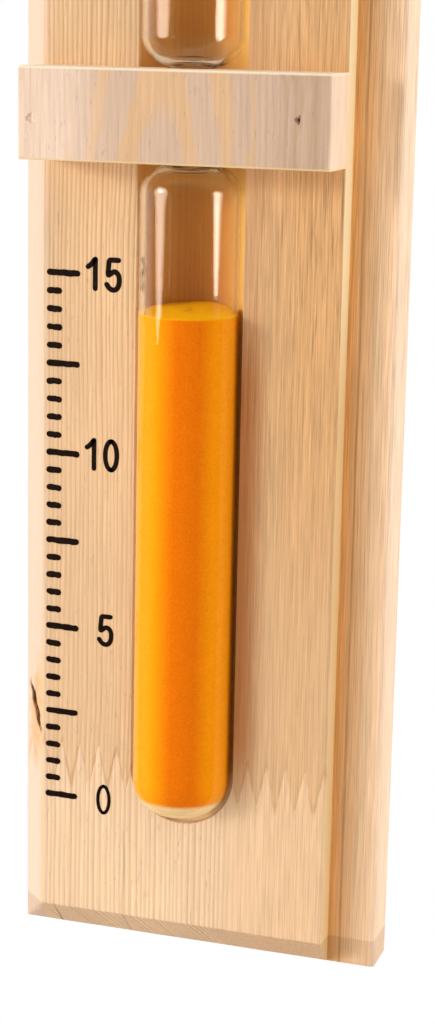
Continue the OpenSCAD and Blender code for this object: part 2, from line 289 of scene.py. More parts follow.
def pine_material(name, early, late, ring, contrast):
    """A planed pine surface: early wood, darker late wood by the rings, slow tone, fibre streaks and fine
    pores. Gives the material, the group's outputs, the colour so far and the shader."""
    made, tree = blank(name)
    wood = put(tree, "ShaderNodeGroup", ring, node_tree=pine).outputs
    light = times(fade(wood["Tone"], 0.3, 0.7, 0.93, 1.06), fade(wood["Fibre"], 0.3, 0.7, 0.88, 1.1))
    light = maths("MULTIPLY_ADD", wood["Pores"], -0.16, light)
    colour = scaled(blend(times(wood["Late"], contrast), early, late), light)
    shader = principled(tree, {"Base Color": colour, "Roughness": fade(wood["Fibre"], 0.3, 0.7, 0.56, 0.70),
                               "Specular IOR Level": 0.3, "Normal": bump(wood["Height"], 0.35, 0.00006)})
    return made, wood, colour, shader


# Board, upper piece and end piece
# Finger-jointed pine with a bevel on the left and at both ends, a step on the right and a round groove
# for the glass, all cut by machine. The two pieces are glued. Front and back are depths over one set of
# points, with every edge, the groove's rings and the joint.

THICK = round(BACK_Y - FACE_Y, 3)
BEVEL_W, BEVEL_D, STEP_D = 5.6, 5.1, 5.1                # width and depth of the bevel, depth of the step
EDGE = round(-LEFT - BEVEL_W, 3)                        # where the flat face ends, from the middle
END_EDGE = round(HALF - BEVEL_W, 3)                     # the same upwards and downwards
GROOVE_R, GROOVE_HALF, GROOVE_UP = 10.6, 127.434, 0.8   # its axis lies GROOVE_UP above the face
RIM_R, ARRIS_R, SIDE_R, BACK_R = 0.25, 0.7, 0.5, 3.0    # roundings of groove, step, sides and back
BOLT_HOLE_R, POCKET_R, POCKET_D = 3.06, 7.2, 11.5       # the bolt's hole, and the pocket for its head
PITCH, TIP, FINGER = 3.88, 0.4, 7.8                     # finger to finger, a finger's flat tip, its length
JOINT_Z = round(joint_foot + FINGER / 2, 3)             # middle height of the joint
SLIT_X, SLIT_Z, SLIT_SLOPE = -31.85, -118.2, 0.39       # middle of the slit, and how it slants
SLIT_SWAY, SLIT_TURNS = 0.2, 1.7                        # how far its line wavers, and how quickly


def joint_line(x):
    """Height of the finger joint: slanted flanks between flat tips, low at x = 0 and after each pitch."""
    t = np.abs((x / PITCH + 0.5) % 1 - 0.5)
    return JOINT_Z - FINGER / 2 + FINGER * np.clip((t - TIP / 2 / PITCH) / (0.5 - TIP / PITCH), 0, 1)


def soft_max(a, b, k):
    """The larger of two depths, with the arris between them eased over k."""
    return np.maximum(a, b) + np.maximum(k - np.abs(a - b), 0) ** 2 / (4 * k)


def rounding(gap, r):
    """Depth of a quarter round of radius r, at the distance gap from the edge that it rounds."""
    return r - np.sqrt(r ** 2 - np.clip(r - gap, 0, r) ** 2)


def groove_depth(s):
    """Depth of the groove at the distance s from its centre line: a circle, then the fillet of its rim."""
    on_face = math.sqrt((GROOVE_R + RIM_R) ** 2 - (RIM_R + GROOVE_UP) ** 2)
    touch = GROOVE_R * on_face / (GROOVE_R + RIM_R)
    round_part = -GROOVE_UP + np.sqrt(np.maximum(GROOVE_R ** 2 - np.minimum(s, touch) ** 2, 0))
    rim = RIM_R - np.sqrt(np.maximum(RIM_R ** 2 - (on_face - np.clip(s, touch, on_face)) ** 2, 0))
    return np.where(s <= touch, round_part, np.where(s < on_face, rim, 0))


def slit_depth(x, z):
    """A slit on the left bevel: a slanted, wavering wedge with pointed ends, deepest in its middle."""
    half_length, half_width, deepest = 4.9, 0.85, 1.1
    taper = np.clip(1 - ((z - SLIT_Z) / half_length) ** 2, 0, 1)
    off = x - SLIT_X + SLIT_SLOPE * (z - SLIT_Z) + SLIT_SWAY * np.sin(z * SLIT_TURNS)
    return deepest * np.clip(1 - (off / np.maximum(half_width * taper, 1e-6)) ** 2, 0, 1) * taper


def front_depth(x, z):
    """Depth below the face: bevels, step and groove, with slightly wavering arrises and the faint waves of
    planing. The joint shows as a thin furrow, and the bolt's pocket as a flat floor."""
    waver = 0.05 * np.sin(z * 0.11 + 1) + 0.035 * np.sin(z * 0.37) + 0.02 * np.sin(z * 0.93 + 2)
    left = (-EDGE - x + waver) * BEVEL_D / BEVEL_W
    ends = (np.abs(z) - END_EDGE + 0.04 * np.sin(x * 0.31)) * BEVEL_D / BEVEL_W
    d = soft_max(soft_max(0 * x, left, 0.3), ends, 0.3)
    d = d + 0.012 * (1 + np.sin(z * 0.19 + 0.11 * x)) + 0.01 * (1 + np.sin(x * 0.43 + z * 0.021))
    d = np.maximum(d, rounding(EDGE - x, ARRIS_R))
    d = np.where(x > EDGE, d + (STEP_D - d) * np.clip((x - EDGE) / 0.04, 0, 1), d)
    d = np.maximum(d, np.where(x > EDGE + 0.04, STEP_D + 0.012 * (1 + np.sin(z * 0.13)), 0))
    d = d + rounding(RIGHT - x, ARRIS_R) + rounding(x - LEFT, SIDE_R) + rounding(HALF - np.abs(z), SIDE_R)
    s = np.hypot(x, np.maximum(np.abs(z) - GROOVE_HALF, 0))
    d = np.maximum(d, groove_depth(s))
    d = np.where(np.hypot(x, z) < POCKET_R, POCKET_D, d)
    d = d + 0.07 * np.exp(-np.abs(z - joint_line(x)) * 0.19 / 0.09) * (s > GROOVE_R + 0.3)
    return d + slit_depth(x, z)


def back_depth(x, z):
    """Depth of the back below the face, with its edges rounded."""
    gaps = (x - LEFT, RIGHT - x, HALF - np.abs(z))
    return THICK - np.maximum.reduce([rounding(gap, BACK_R) for gap in gaps])


def piece_of(name, verts, faces, sharp=None):
    """An object with that mesh, whose places are in mm. It is smooth but for edges past the angle sharp, in
    degrees, or flat where none is given."""
    mesh = bpy.data.meshes.new(name)
    mesh.from_pydata((np.asarray(verts) / 1000).tolist(), [], faces)
    mesh.validate()
    if sharp:
        mesh.shade_smooth()
        mesh.set_sharp_from_angle(angle=math.radians(sharp))
    made = bpy.data.objects.new(name, mesh)
    scene.collection.objects.link(made)
    return made


def slab(name, points, edges, keep, front, back, low_y):
    """A closed mesh over a flat set of points with fixed edges: a front, a back and the walls that join their
    outlines. keep tells its triangles by their middle; depths run along +Y from low_y, all in mm."""
    points, edges = [tuple(p) for p in points], [tuple(e) for e in edges]
    flat, _, triangles, *_ = delaunay_2d_cdt(points, edges, [], 0, 1e-5)
    flat = np.array([tuple(v) for v in flat], float)
    triangles = np.array(triangles, int)
    middle = flat[triangles].mean(1)
    triangles = triangles[keep(middle[:, 0], middle[:, 1])]
    a, b, c = (flat[triangles[:, i]] for i in range(3))
    area = (b[:, 0] - a[:, 0]) * (c[:, 1] - a[:, 1]) - (b[:, 1] - a[:, 1]) * (c[:, 0] - a[:, 0])
    real = np.abs(area) > 1e-7
    triangles, area = triangles[real], area[real]
    triangles[area < 0] = triangles[area < 0][:, ::-1]
    used, index = np.unique(triangles, return_inverse=True)
    flat, triangles = flat[used], index.reshape(-1, 3)
    n = len(flat)
    sides = triangles[:, [0, 1, 1, 2, 2, 0]].reshape(-1, 2)
    key = sides.min(1) * n + sides.max(1)
    _, first, count = np.unique(key, return_index=True, return_counts=True)
    rim = sides[first[count == 1]]
    x, z = flat.T
    near, far = front(x, z), back(x, z)
    rows = 4
    on_rim = np.unique(rim)
    place = -np.ones(n, int)
    place[on_rim] = np.arange(len(on_rim))
    shell = [np.stack([x, low_y + near, z], 1), np.stack([x, low_y + far, z], 1)]
    level = [np.arange(n)]
    for k in range(1, rows):
        y = near[on_rim] + (far[on_rim] - near[on_rim]) * k / rows
        shell.append(np.stack([x[on_rim], low_y + y, z[on_rim]], 1))
        level.append(2 * n + (k - 1) * len(on_rim) + place)
    level.append(np.arange(n) + n)
    faces = triangles.tolist() + (triangles[:, ::-1] + n).tolist()
    for u, v in zip(level, level[1:]):
        faces += np.stack([u[rim[:, 1]], u[rim[:, 0]], v[rim[:, 0]], v[rim[:, 1]]], 1).tolist()
    return piece_of(name, np.concatenate(shell), faces, 38)


def lattice(lines_x, lines_z, extra_x, extra_z):
    """Points and edges of straight lines across a field: lines_x run along z and lines_z along x. The extra
    values are stations on them."""
    stations_z = np.unique(np.round(np.concatenate([lines_z, extra_z]), 4))
    stations_x = np.unique(np.round(np.concatenate([lines_x, extra_x]), 4))
    points, edges = [], []
    upright = [[(x, z) for z in stations_z] for x in lines_x]
    level = [[(x, z) for x in stations_x] for z in lines_z]
    for line in upright + level:
        edges += [(i, i + 1) for i in range(len(points), len(points) + len(line) - 1)]
        points += line
    return points, edges


def add_loop(loop):
    """Adds a closed line to the board's points and edges."""
    start = len(points)
    points.extend(loop)
    edges.extend((start + i, start + (i + 1) % len(loop)) for i in range(len(loop)))


def grid(xs, zs):
    """The points of a grid, row by row."""
    gx, gz = np.meshgrid(xs, zs)
    return np.stack([gx.ravel(), gz.ravel()], 1)


# Lines stand close together at each arris, along the groove and along the joint. A field of points fills the
# flat face between them, and a finer one the slit.
near_edge = np.array([0, 0.1, 0.25, 0.5, 0.9, 1.5, 2.2, 3.0, 4.2])
arris = np.array([-0.8, -0.45, -0.2, 0, 0.2, 0.45, 0.8])
lines_x = np.concatenate([LEFT + near_edge, -EDGE + arris, EDGE - np.array([1.1, 0.7, 0.5, 0.3, 0.15, 0.05]),
                          EDGE + np.array([0, 0.01, 0.02, 0.03, 0.04, 0.3, 0.8]),
                          RIGHT - np.array([0, 0.05, 0.2, 0.45, 0.7, 1, 1.5, 2.2, 3.0])])
upper_lines = np.concatenate([HALF - near_edge, END_EDGE + arris])
lines_z = np.concatenate([-upper_lines, upper_lines])
points, edges = lattice(lines_x, lines_z, np.arange(-34, 38, 1.6), np.arange(-164, 164.1, 2.0))
turn = np.radians(np.arange(-90, 90.1, 5))
along = np.linspace(-GROOVE_HALF, GROOVE_HALF, 64)[1:-1]
for s in np.concatenate([GROOVE_R * np.sin(np.radians(np.arange(4, 84, 5))),
                         GROOVE_R + np.array([-0.05, 0, 0.06, 0.14, 0.199, 0.35])]):
    add_loop([(-s, z) for z in -along]
             + [(s * math.sin(t), -GROOVE_HALF - s * math.cos(t)) for t in turn]
             + [(s, z) for z in along]
             + [(s * math.sin(-t), GROOVE_HALF + s * math.cos(t)) for t in turn])
for r in (BOLT_HOLE_R, POCKET_R - 0.02, POCKET_R + 0.02):
    add_loop([(r * math.cos(t), r * math.sin(t)) for t in np.linspace(0, 2 * math.pi, 48, endpoint=False)])
tips = np.array([(i + f) * PITCH + t for i in range(-11, 12) for f in (0, 0.5) for t in (-TIP / 2, TIP / 2)])
tips = np.unique(np.concatenate([tips, [LEFT, RIGHT], (tips[:-1] + tips[1:]) / 2]))
tips = tips[(tips >= LEFT) & (tips <= RIGHT)]
for lift in (-0.8, 0, 0.8):
    start = len(points)
    points += [(x, joint_line(x) + lift) for x in tips]
    edges += [(i, i + 1) for i in range(start, len(points) - 1)]
step = 1.1
field = grid(np.arange(-28.2, 28.4, step), np.arange(-158, 158.3, step))
field[:, 0] += 0.25 * step * np.where(np.round(field[:, 1] / step) % 2 == 0, 1, -1)
field = field[np.hypot(field[:, 0], np.maximum(np.abs(field[:, 1]) - GROOVE_HALF, 0)) > GROOVE_R + 0.8]
field = field[np.abs(field[:, 1] - joint_line(field[:, 0])) > 1.2]
round_slit = grid(np.arange(-34.4, -29.6, 0.16), np.arange(-124, -113.5, 0.25))
points += [tuple(p) for p in np.concatenate([field, round_slit])]


def on_board(x, z):
    """Whether a place lies within the board's outline, and not in the bolt's hole."""
    return (np.hypot(x, z) > BOLT_HOLE_R - 0.01) & (x > LEFT) & (x < RIGHT) & (np.abs(z) < HALF)


def above_joint(x, z):
    """Whether a place is wood of the upper piece."""
    return on_board(x, z) & (z >= joint_line(x))


def below_joint(x, z):
    """Whether a place is wood of the end piece."""
    return on_board(x, z) & (z < joint_line(x))


main = slab("board_main_wood", points, edges, above_joint, front_depth, back_depth, FACE_Y)
end = slab("board_end_wood", points, edges, below_joint, front_depth, back_depth, FACE_Y)


def bands(value, stops, easing="LINEAR"):
    """The colour that stands at value in a row of stops from 0 to 1, each a place and a colour."""
    made = put(tree_of(value), "ShaderNodeValToRGB", {"Fac": value})
    row = made.color_ramp.elements
    made.color_ramp.interpolation = easing
    row[0].color, row[-1].color = rgba(stops[0][1]), rgba(stops[-1][1])
    for at, colour in stops[1:-1]:
        row.new(at).color = rgba(colour)
    return made.outputs["Color"]


def away(value, centre):
    """The distance of a value from a centre."""
    return maths("ABSOLUTE", maths("SUBTRACT", value, centre))


def ring_figure(colour, late, x, z, soft, middle):
    """Rings that stand out more near the strap, and fade into the wood's middle tone on the right half."""
    bold = times(ease(z, -75.0, -25.0, 0.0, 0.8), ease(x, 6.0, 14.0, 1.0, 0.3), late)
    colour = vectors("MULTIPLY", colour, blend(bold, WHITE, (0.90, 0.80, 0.66)))
    calm = maths("DIVIDE", ease(x, 7.0, 13.0, 0.0, 0.78), soft, use_clamp=True)
    return blend(calm, colour, middle)


def right_half(colour, place, x, z, ahead, face):
    """The face darkens and yellows towards the right, weakest towards the lower end: partly a darker wood
    tone, partly painted shade below and beside the strap. Short brown streaks lie below the strap.
    """
    # far: painted shade, together with a darker wood tone, over the right of the face
    far = times(ease(x, 6.0, 24.0), face, ease(z, -118.0, -40.0, 0.25, 1.0), ahead,
                ease(z, 2.0, 12.0, 1.0, 0.85))
    colour = vectors("MULTIPLY", colour, blend(far, WHITE, (0.96, 0.84, 0.66)))
    dash = fade(noise(place, (2.6, 1.0, 0.11), 2.0, 0.7), 0.52, 0.70, 0.0, 0.62)
    dash = times(dash, ease(z, -75.0, -30.0, 0.5, 1.0), far)
    return blend(dash, colour, (0.40, 0.21, 0.09))


def shelf(colour, place, x, y, ahead, face):
    """The step's shelf and side: painted shade at the foot of the step, where a darker resinous line also
    runs, and painted light towards the outer side, which faces the right lamp. Brown lines run along it, one
    of them long and clear."""
    # tone: painted shade at the foot of the step and painted light towards the outer side
    tone = bands(fade(x, EDGE - 0.05, RIGHT + 0.05),
                 ((0, (0.80, 0.40, 0.12)), (0.06, (0.83, 0.40, 0.12)), (0.17, (0.84, 0.46, 0.19)),
                  (0.45, (0.97, 0.60, 0.32)), (0.62, (1.0, 0.68, 0.41)), (0.85, (0.95, 0.64, 0.40)),
                  (1, (0.98, 0.73, 0.52))))
    lines = fade(noise(place, (2.3, 0.5, 0.014), 4.0, 0.8), 0.46, 0.70, 0.0, 0.32)
    tone = blend(lines, tone, (0.72, 0.42, 0.20))
    fore = fade(y, BACK_Y - 2.4, BACK_Y - 1.2, 1.0, 0.0)
    colour = blend(times(maths("SUBTRACT", 1.0, face), fore, 0.96), colour, tone)
    rift = times(ease(away(x, 31.9), 0.1, 0.34, 0.55, 0.0), ahead)
    return blend(rift, colour, (0.45, 0.22, 0.09))


def painted_light_on_step_wall(colour, x, z, ahead):
    """The upright side of the step, painted pale as light on a face that turns to the right lamp, and paler
    still from the strap upwards.
    """
    # wall: painted light on the step's upright side
    wall = times(fade(x, EDGE - 0.07, EDGE - 0.03, 0.0, 0.8), ahead,
                 fade(x, EDGE + 0.04, EDGE + 0.07, 1.0, 0.0))
    return blend(wall, colour, blend(ease(z, -60.0, -20.0), (0.80, 0.60, 0.31), (1.0, 0.88, 0.55)))


def groove_light_and_shade(colour, x, y, z, ahead, sunk, middle):
    """The routed groove, painted with light and shade by depth: near white at the face, then yellow and
    amber, darker towards its bottom. Painted light near the waist and at the round ends, a painted shadow
    along the ends' rim, painted amber shade above the sand on the left, and paler, bluer wood beside the sand
    against its orange bounce light."""
    # amber: painted shade and light by depth in the groove
    amber = bands(fade(y, FACE_Y, FACE_Y + 9.0),
                  ((0, (0.96, 0.98, 0.95)), (0.07, (0.96, 0.98, 0.95)), (0.32, (1.06, 1.05, 0.71)),
                   (0.55, (1.20, 1.06, 0.47)), (0.92, (1.08, 0.62, 0.14)), (1, (1.08, 0.62, 0.14))))
    from_middle = maths("ABSOLUTE", z)
    # painted light near the waist, where the strap's shadow falls
    amber = blend(ease(from_middle, 11.5, 15.5, 0.55, 0.0), amber, (1.15, 0.92, 0.40))
    # painted light at the groove's round ends
    amber = blend(ease(from_middle, 127.0, 132.0, 0.0, 0.95), amber, (1.08, 1.14, 0.98))
    beyond = maths("MAXIMUM", maths("SUBTRACT", from_middle, GROOVE_HALF), 0.0)
    # rim: painted shadow along the rim of the round ends
    rim = times(fade(hypot(x, beyond), 10.3, 10.5), fade(beyond, 0.5, 4.0, 0.0, 0.8))
    amber = blend(rim, amber, (0.42, 0.33, 0.25))
    # paler and bluer beside the sand, to cancel the orange light that the sand throws on it
    filled = ease(z, -39.0, -35.0, 1.0, 0.0)
    amber = blend(times(ease(x, -8.8, -9.6), filled), amber, (1.14, 1.5, 2.1))
    # painted amber shade on the left above the sand
    empty = maths("SUBTRACT", 1.0, filled)
    amber = blend(times(ease(x, -6.5, -8.5, 0.0, 0.75), empty), amber, (1.10, 0.72, 0.30))
    amber = vectors("MULTIPLY", blend(0.72, colour, middle), amber)
    within = times(fade(times(x, x), 112.0, 114.5, 1.0, 0.0),       # 112 is nearly GROOVE_R squared
                   fade(from_middle, 137.6, 138.1, 1.0, 0.0))       # the groove's round ends reach 138
    inner = times(within, sunk, ahead)
    return blend(inner, colour, amber)


def glue_line(colour, place, x, z, face):
    """A patchy brown line along the finger joint, whose height at x is joint_line's, made with nodes."""
    phase = away(maths("FRACT", maths("MULTIPLY_ADD", x, 1 / PITCH, 0.5)), 0.5)
    line = fade(phase, TIP / 2 / PITCH, 0.5 - TIP / 2 / PITCH, JOINT_Z - FINGER / 2, JOINT_Z + FINGER / 2)
    patches = fade(noise(place, 0.22, 2.0), 0.38, 0.62, 0.0, 0.6)
    return blend(times(ease(away(z, line), 0.3, 2.4, 1.0, 0.0), patches, face), colour, (0.60, 0.34, 0.15))


def tube_shadow_and_sawn_ends(colour, x, z, ahead, sunk):
    """A painted brown shadow of the tube beside the sand, twice as strong in the groove, and sawn ends darker
    than the face.
    """
    # tube_shadow: painted shadow that the tube casts on the face to its right
    tube_shadow = times(ease(x, 11.5, 17.0, 1.0, 0.0), maths("GREATER_THAN", x, 9.5), ahead,
                  ease(z, -136.0, -118.0), ease(z, -52.0, -32.0, 1.0, 0.3))
    tube_shadow = maths("MULTIPLY_ADD", tube_shadow, sunk, tube_shadow)
    colour = vectors("MULTIPLY", colour, blend(tube_shadow, WHITE, (0.76, 0.46, 0.26)))
    sawn = fade(maths("ABSOLUTE", z), END_EDGE - 0.1, END_EDGE + 0.2)
    return vectors("MULTIPLY", colour, blend(sawn, WHITE, (0.84, 0.80, 0.78)))


def slit_and_resin(colour, place, x, z, ahead):
    """Amber resin round the slit on the bevel, drawn out along the grain, near black inside it, partly
    painted shade of its recess and partly dark resin, and a yellowed strip along the arris above and below
    it."""
    reach = vectors("SUBTRACT", place, (-31.6, FACE_Y + 2, -119.5))
    reach = vectors("ADD", vectors("MULTIPLY", reach, (0.42, 0.2, 0.085)), wander(place, 0.3, 2.0, 0.5))
    reach = put(tree_of(reach), "ShaderNodeVectorMath", {0: reach}, operation="LENGTH").outputs["Value"]
    colour = blend(times(ease(reach, 0.35, 1.15, 0.7, 0.0), ahead), colour, (0.74, 0.40, 0.13))
    down = maths("SUBTRACT", z, SLIT_Z)
    off = maths("SUBTRACT", maths("MULTIPLY_ADD", down, SLIT_SLOPE, x), SLIT_X)
    off = maths("ABSOLUTE", maths("MULTIPLY_ADD", maths("SINE", times(z, SLIT_TURNS)), SLIT_SWAY, off))
    # slit: near black inside the slit, partly painted shade of the recess
    slit = times(ease(off, 0.25, 0.8, 0.95, 0.0), ease(maths("ABSOLUTE", down), 2.6, 5.4, 1.0, 0.0), ahead)
    colour = blend(slit, colour, (0.12, 0.04, 0.016))
    strip = times(ease(away(x, -EDGE - 0.2), 0.2, 0.9, 0.4, 0.0), ease(z, -112.0, -96.0, 1.0, 0.15), ahead)
    return blend(strip, colour, (0.80, 0.50, 0.20))


def drying_checks(colour, x, z):
    """Two thin dark checks that run up from the lower end, each a line that wavers a little."""
    for at, low, high, half, depth in ((-26.95, -168.0, -157.5, 0.2, 0.7),
                                       (-12.0, -170.0, -138.0, 0.24, 0.25)):
        bend = maths("MULTIPLY_ADD", maths("SINE", times(z, 0.35)), 0.12, x)
        check = times(ease(away(bend, at), 0.4 * half, 1.6 * half, depth, 0.0),
                      fade(z, low, low + 3.0), fade(z, high, high - 5.0))
        colour = blend(check, colour, (0.30, 0.14, 0.06))
    return colour


for piece, node, slot, early, late, contrast, ring in (
        (main, "board_main", "pine", (0.83, 0.56, 0.325), (0.62, 0.36, 0.17), 0.62,
         {"Pith X": -190.0, "Pith Y": 90.0, "Ring Width": 0.74, "Wander": 0.5, "Late Share": 0.62}),
        (end, "board_end", "pine_end", (0.93, 0.67, 0.43), (0.74, 0.46, 0.25), 0.85,
         {"Pith X": -150.0, "Pith Y": 60.0, "Ring Width": 0.88, "Wander": 0.2, "Late Share": 0.7,
          "Seed": 31.0})):
    material, wood, colour, shader = pine_material(slot + "_wood", early, late, ring, contrast)
    place = in_mm(material.node_tree)
    x, y, z = xyz(place)
    middle = [0.58 * a + 0.42 * b for a, b in zip(early, late)]
    ahead = fade(y, FACE_Y + 10.4, FACE_Y + 11.0, 1.0, 0.0)
    face = fade(x, EDGE - 0.05, EDGE + 0.03, 1.0, 0.0)
    sunk = fade(y, FACE_Y + 0.25, FACE_Y + 0.7)
    soft = ease(z, -105.0, -45.0, 0.7, 1.0)
    colour = ring_figure(colour, wood["Late"], x, z, soft, middle)
    colour = right_half(colour, place, x, z, ahead, face)
    colour = shelf(colour, place, x, y, ahead, face)
    hair = fade(noise(place, (5.2, 2.0, 0.08), 2.0, 0.6), 0.28, 0.72, 0.74, 1.27)
    hair = blend(times(fade(x, 8.0, 14.0, 0.25, 1.0), soft), WHITE, hair)
    colour = vectors("MULTIPLY", colour, hair)
    colour = painted_light_on_step_wall(colour, x, z, ahead)
    colour = blend(ease(x, -27.5, -31.0, 0.0, 0.75), colour, (0.79, 0.60, 0.49))    # painted light: the left bevel, which faces the lamps, is paler and less saturated
    colour = groove_light_and_shade(colour, x, y, z, ahead, sunk, middle)
    colour = glue_line(colour, place, x, z, face)
    colour = tube_shadow_and_sawn_ends(colour, x, z, ahead, sunk)
    colour = slit_and_resin(colour, place, x, z, ahead)
    colour = drying_checks(colour, x, z)
    material.node_tree.links.new(colour, shader.inputs["Base Color"])
    piece.data.materials.append(material)
    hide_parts(node)
    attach(piece, "turning_board")


# Scale
# Dark brown print: 31 marks half a minute apart with every fifth one long, and the minutes 0, 5, 10 and 15.
# The same scale stands upside down beside the upper bulb, where it reads right once the board is turned.

def stroke(path, half):
    """Outline of a printed line: points at both sides of the path, half a width away, with round ends."""
    p = np.array(path, float)
    d = np.gradient(p, axis=0)
    d /= np.linalg.norm(d, axis=1)[:, None]
    half = np.broadcast_to(half, len(p))
    n = np.stack([-d[:, 1], d[:, 0]], 1) * half[:, None]
    caps = []
    for end, way in ((0, n[0]), (-1, -n[-1])):
        a = math.atan2(way[1], way[0]) + np.linspace(math.pi, 0, 7)[1:-1]
        caps.append(p[end] + half[end] * np.stack([np.cos(a), np.sin(a)], 1))
    return np.concatenate([p + n, caps[1], (p - n)[::-1], caps[0]])


def smooth(path, rounds):
    """Rounds an open path by cutting its corners again and again."""
    p = np.array(path, float)
    for _ in range(rounds):
        q, r = p[:-1] * 0.75 + p[1:] * 0.25, p[:-1] * 0.25 + p[1:] * 0.75
        p = np.concatenate([p[:1], np.stack([q, r], 1).reshape(-1, 2), p[-1:]])
    return p


def half_oval(side):
    """The left or right half of a nought, from its top to its foot."""
    return [(side * 1.2 * math.sin(t), 3.22 - side * 2.8 * math.cos(t)) for t in np.linspace(0, math.pi, 17)]


digits = {
    "1": [smooth([(-1.25, 4.55), (-0.6, 5.0), (0.1, 5.95)], 2),
          smooth([(0.22, 6.0), (0.22, 3.0), (0.22, 0.45)], 1)],
    "5": [smooth([(1.15, 6.02), (0.0, 6.02), (-0.72, 6.02), (-0.78, 5.3), (-1.0, 3.0), (-0.55, 3.3),
                  (0.35, 4.0), (1.35, 3.2), (1.32, 1.2), (0.6, 0.3), (-0.5, 0.42), (-1.2, 1.35)], 3)],
    "0": [half_oval(-1), half_oval(1)],
}
MARK_X, MARK_LOW = LEFT + 6.21, 29.4 - HALF     # left end and height of the lowest mark
MARK_GAP, MARK_END = 3.5, 0.62                  # from mark to mark, and the length of a round end
INK_T, INK_IN = 0.045, 0.2                      # how far the ink stands on the face, and goes into the wood
rng = np.random.default_rng(5)
marks = []
for i in range(31):
    length, stations = (6.9, 9) if i % 5 == 0 else (3.2, 6)
    xs = np.linspace(MARK_X + MARK_END, MARK_X + length - MARK_END, stations)
    zs = MARK_LOW + MARK_GAP * i + rng.normal(0, 0.035, stations) - 0.12 * (xs - xs[0]) / length
    marks.append(stroke(np.stack([xs, zs], 1), 0.60 + rng.normal(0, 0.03, stations)))
for text, x, z, weight in (("15", -17.25, -33.45, 0.5), ("10", -17.25, -68.35, 0.47),
                           ("5", -16.35, -103.35, 0.47), ("0", -16.35, -138.45, 0.34)):
    for j, c in enumerate(text):
        at = x + (3.75 * (j - 0.5) if len(text) == 2 else 0)
        for path in digits[c]:
            marks.append(stroke(np.array(path) + [at, z], weight))
ink_verts, ink_faces = [], []
for outline in marks + [-mark for mark in marks]:
    k, start = len(outline), len(ink_verts)
    for y in (FACE_Y - INK_T, FACE_Y + INK_IN):
        ink_verts += [(x, y, z) for x, z in outline]
    nx, nz = np.roll(outline, -1, axis=0).T
    way = 1 if np.sum(outline[:, 0] * nz - nx * outline[:, 1]) > 0 else -1
    top = tuple(range(start, start + k))
    ring = [(start + i, start + (i + 1) % k, start + k + (i + 1) % k, start + k + i) for i in range(k)]
    ink_faces += [top[::way]] + [side[::-way] for side in ring]
ink = piece_of("scale_ink", ink_verts, ink_faces)
material, tree = blank("brown_ink")
blot = noise(put(tree, "ShaderNodeTexCoord").outputs["Object"], 1600.0, 3.0)
colour = blend(fade(blot, 0.5, 0.8, 0.0, 0.5), (0.010, 0.004, 0.002), (0.05, 0.02, 0.008))
principled(tree, {"Base Color": colour, "Roughness": 0.6, "Specular IOR Level": 0.08,
                  "Normal": bump(blot, 0.3, 0.00003)})
ink.data.materials.append(material)
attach(ink, "turning_board")


# Strap
# A batten of pale pine across the waist, cut from the end of a wide board, so that its grain stands upright.
# Its front keeps the faint ripple of the saw, and two brads are driven below it.

(_, STRAP_Y, _), (STRAP_HALF, strap_back_y, STRAP_H) = corners("strap")
STRAP_T = round(strap_back_y - STRAP_Y, 3)
BRADS = [tuple(np.round(sum(corners(node)) / 2, 2)[[0, 2]]) for node in ("brad_left", "brad_right")]
NOTCH_R, FLARE = 4.0, 1.0               # radius of the notch, and the length that it flares over


def strap_front(x, z):
    """Depth of the strap's front: eased edges, saw ripple, and a torn, lipped dent round each brad."""
    d = rounding(STRAP_H - np.abs(z), 0.5) + rounding(STRAP_HALF - np.abs(x), 0.25)
    d = d + 0.02 * (1 + np.sin(x * 0.9 + 0.6 * np.sin(z * 0.4)))
    for (bx, bz), wide, deep in zip(BRADS, (0.75, 0.62), (0.35, 0.55)):
        r = np.hypot(x - bx, (z - bz) * 0.8)
        angle = np.arctan2(z - bz, x - bx)
        torn = wide * (1 + 0.22 * np.sin(3 * angle + bx) + 0.12 * np.sin(7 * angle))
        d = d + deep * np.clip(1 - (r / torn) ** 2, 0, 1) ** 0.6
        d = d - 0.06 * np.exp(-((r - torn * 1.15) / 0.2) ** 2) * (d > 0.06)
    return d


def strap_back(x, z):
    """Depth of its back, with the half-round notch for the glass, which flares out at both ends."""
    r = NOTCH_R + np.clip(np.abs(z) - (STRAP_H - FLARE), 0, FLARE)
    return STRAP_T - np.sqrt(np.maximum(r ** 2 - x ** 2, 0))


def on_strap(x, z):
    """Whether a place lies within the strap's outline."""
    return (np.abs(x) < STRAP_HALF) & (np.abs(z) < STRAP_H)


lines_x = np.concatenate([s * (STRAP_HALF - np.array([0, 0.03, 0.1, 0.25, 0.5])) for s in (-1, 1)]
                         + [NOTCH_R * np.sin(np.radians(np.arange(-90, 90.1, 7.5))),
                            [-5, -4.9, -4.7, -4.4, 4.4, 4.7, 4.9, 5]])
lines_z = np.concatenate([s * (STRAP_H - np.array([0, 0.03, 0.12, 0.28, 0.5, 0.75, 1.0])) for s in (-1, 1)])
points, edges = lattice(lines_x, lines_z, np.arange(-29, 29.1, 0.8), np.arange(-8, 8.1, 0.8))
points += [tuple(p) for p in grid(np.arange(-29, 29.1, 0.55), np.arange(-7.6, 7.7, 0.55))]
round_brad = np.linspace(0, 2 * math.pi, 24, endpoint=False)
for bx, bz in BRADS:
    for r in np.arange(0.08, 1.3, 0.08):
        points += [(bx + r * math.cos(t), bz + r * math.sin(t)) for t in round_brad]
strap = slab("strap_wood", points, edges, on_strap, strap_front, strap_back, STRAP_Y)
material, _, fibre, shader = pine_material(
    "strap_wood", WHITE, (0.90, 0.82, 0.74),
    {"Pith X": -240.0, "Pith Y": 40.0, "Ring Width": 1.3, "Wander": 0.7, "Late Share": 0.7, "Seed": 77.0,
     "Lean": 0.04}, 0.3)
place = in_mm(material.node_tree)
x, _, z = xyz(place)
